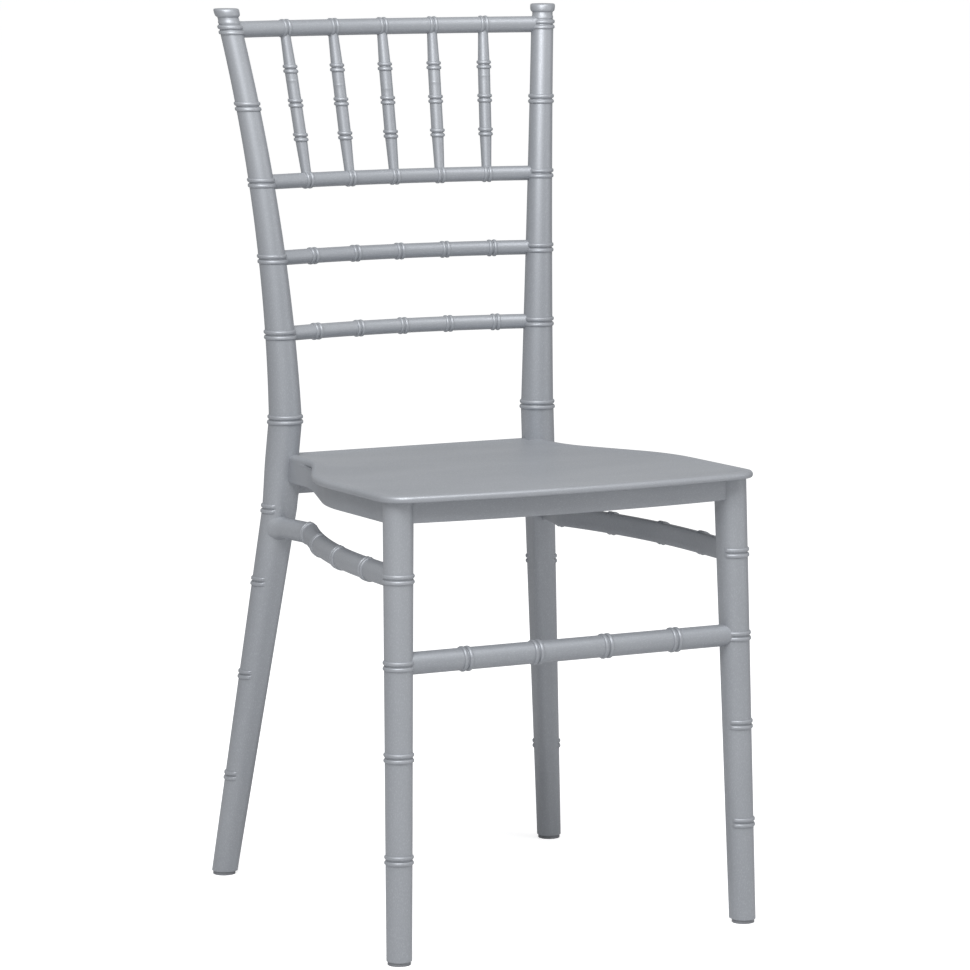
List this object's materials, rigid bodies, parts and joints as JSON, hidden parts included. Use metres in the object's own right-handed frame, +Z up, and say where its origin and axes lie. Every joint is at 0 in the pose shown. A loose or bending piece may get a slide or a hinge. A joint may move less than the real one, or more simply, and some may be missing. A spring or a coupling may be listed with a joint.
{
  "type": "chiavari chair",
  "caption": "Stacking side chair with bamboo-ringed round legs, bowed slatted back with short spindles, dished seat and foot glides, in silver-grey resin.",
  "frame": {"origin": "on the floor, at the middle of the chair's bounding box", "axes": "+Z up, -Y is the way a sitter faces (the seat's front edge), +X is the sitter's left"},
  "size_m": [0.417, 0.4817, 0.92],
  "materials": {
    "frame_resin": "silver-grey moulded resin with a fine metallic pigment, satin",
    "seat_resin": "silver-grey moulded resin with a fine metallic pigment, satin",
    "glide_plastic": "plain moulded plastic"
  },
  "bodies": {
    "root": {"rear_post_left": "frame_resin", "rear_post_right": "frame_resin", "front_leg_left": "frame_resin", "front_leg_right": "frame_resin", "seat": "seat_resin", "top_rail": "frame_resin", "cross_rail_upper": "frame_resin", "cross_rail_middle": "frame_resin", "cross_rail_lower": "frame_resin", "spindle_1": "frame_resin", "spindle_2": "frame_resin", "spindle_3": "frame_resin", "spindle_4": "frame_resin", "spindle_5": "frame_resin", "front_stretcher": "frame_resin", "side_stretcher_left": "frame_resin", "side_stretcher_right": "frame_resin", "glide_front_left": "glide_plastic", "glide_front_right": "glide_plastic", "glide_rear_left": "glide_plastic", "glide_rear_right": "glide_plastic"}
  },
  "joints": []
}
